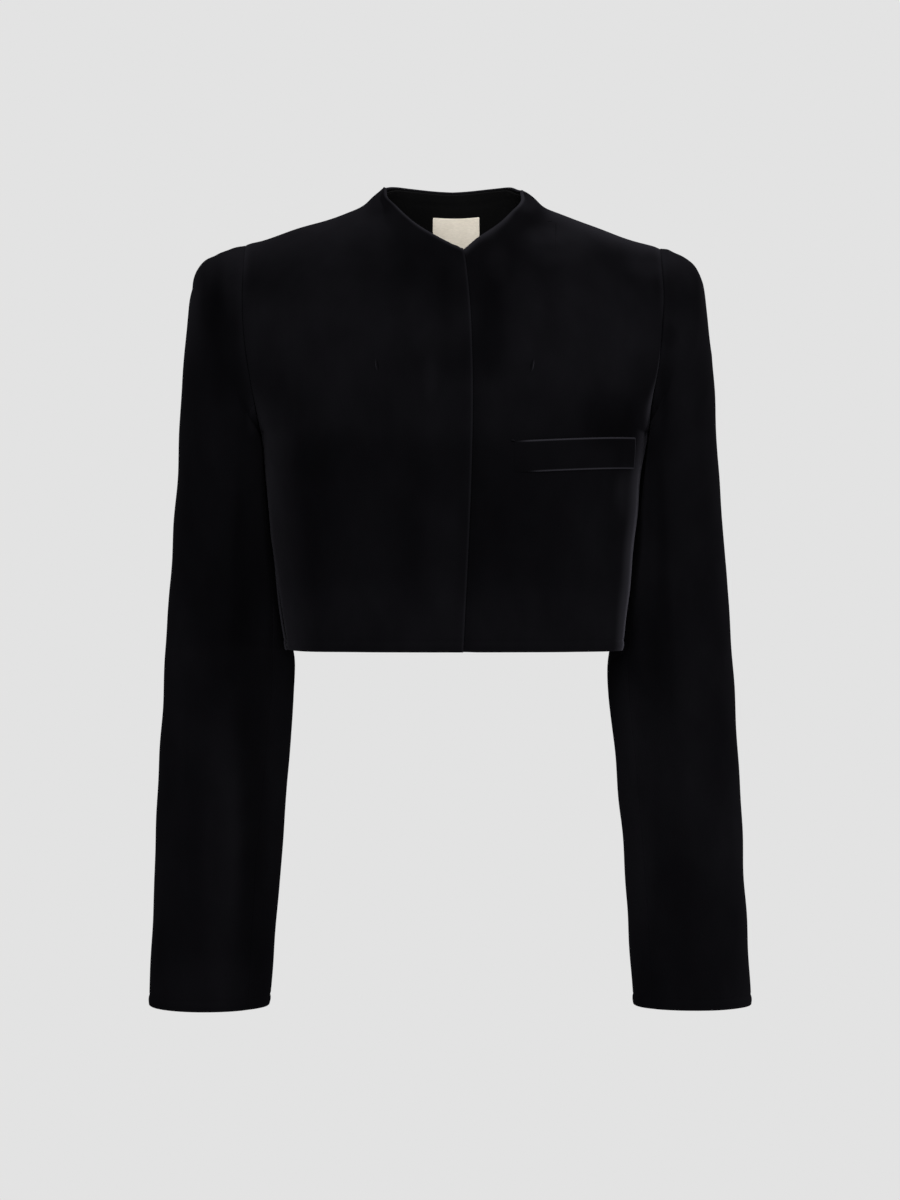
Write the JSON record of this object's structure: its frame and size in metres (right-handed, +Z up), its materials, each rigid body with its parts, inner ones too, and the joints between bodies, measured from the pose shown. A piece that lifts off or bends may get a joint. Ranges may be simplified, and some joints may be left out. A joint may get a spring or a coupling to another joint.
{
  "type": "velvet jacket",
  "caption": "Cropped velvet jacket with a low stand neck, a concealed lapped front, a broad pocket welt and long set-in sleeves, hollow as if worn.",
  "frame": {"origin": "midway between the wearer's two shoulders at the base of the neck, where the jacket is carried", "axes": "+Z up, from the hem to the neck; the front faces -Y; the wearer's left is +X"},
  "size_m": [0.548, 0.2288, 0.7442],
  "materials": {
    "velvet": "black velvet with a short dense pile and a soft sheen at glancing angles",
    "facing": "smooth dark cloth",
    "label": "bare cream woven label"
  },
  "bodies": {
    "root": {"front_right": "velvet", "front_left": "velvet", "back_right": "velvet", "back_left": "velvet", "sleeve_top_right": "velvet", "sleeve_under_right": "velvet", "sleeve_top_left": "velvet", "sleeve_under_left": "velvet", "pocket_welt": "velvet", "neck_facing_back": "facing", "neck_label": "label"}
  },
  "joints": []
}
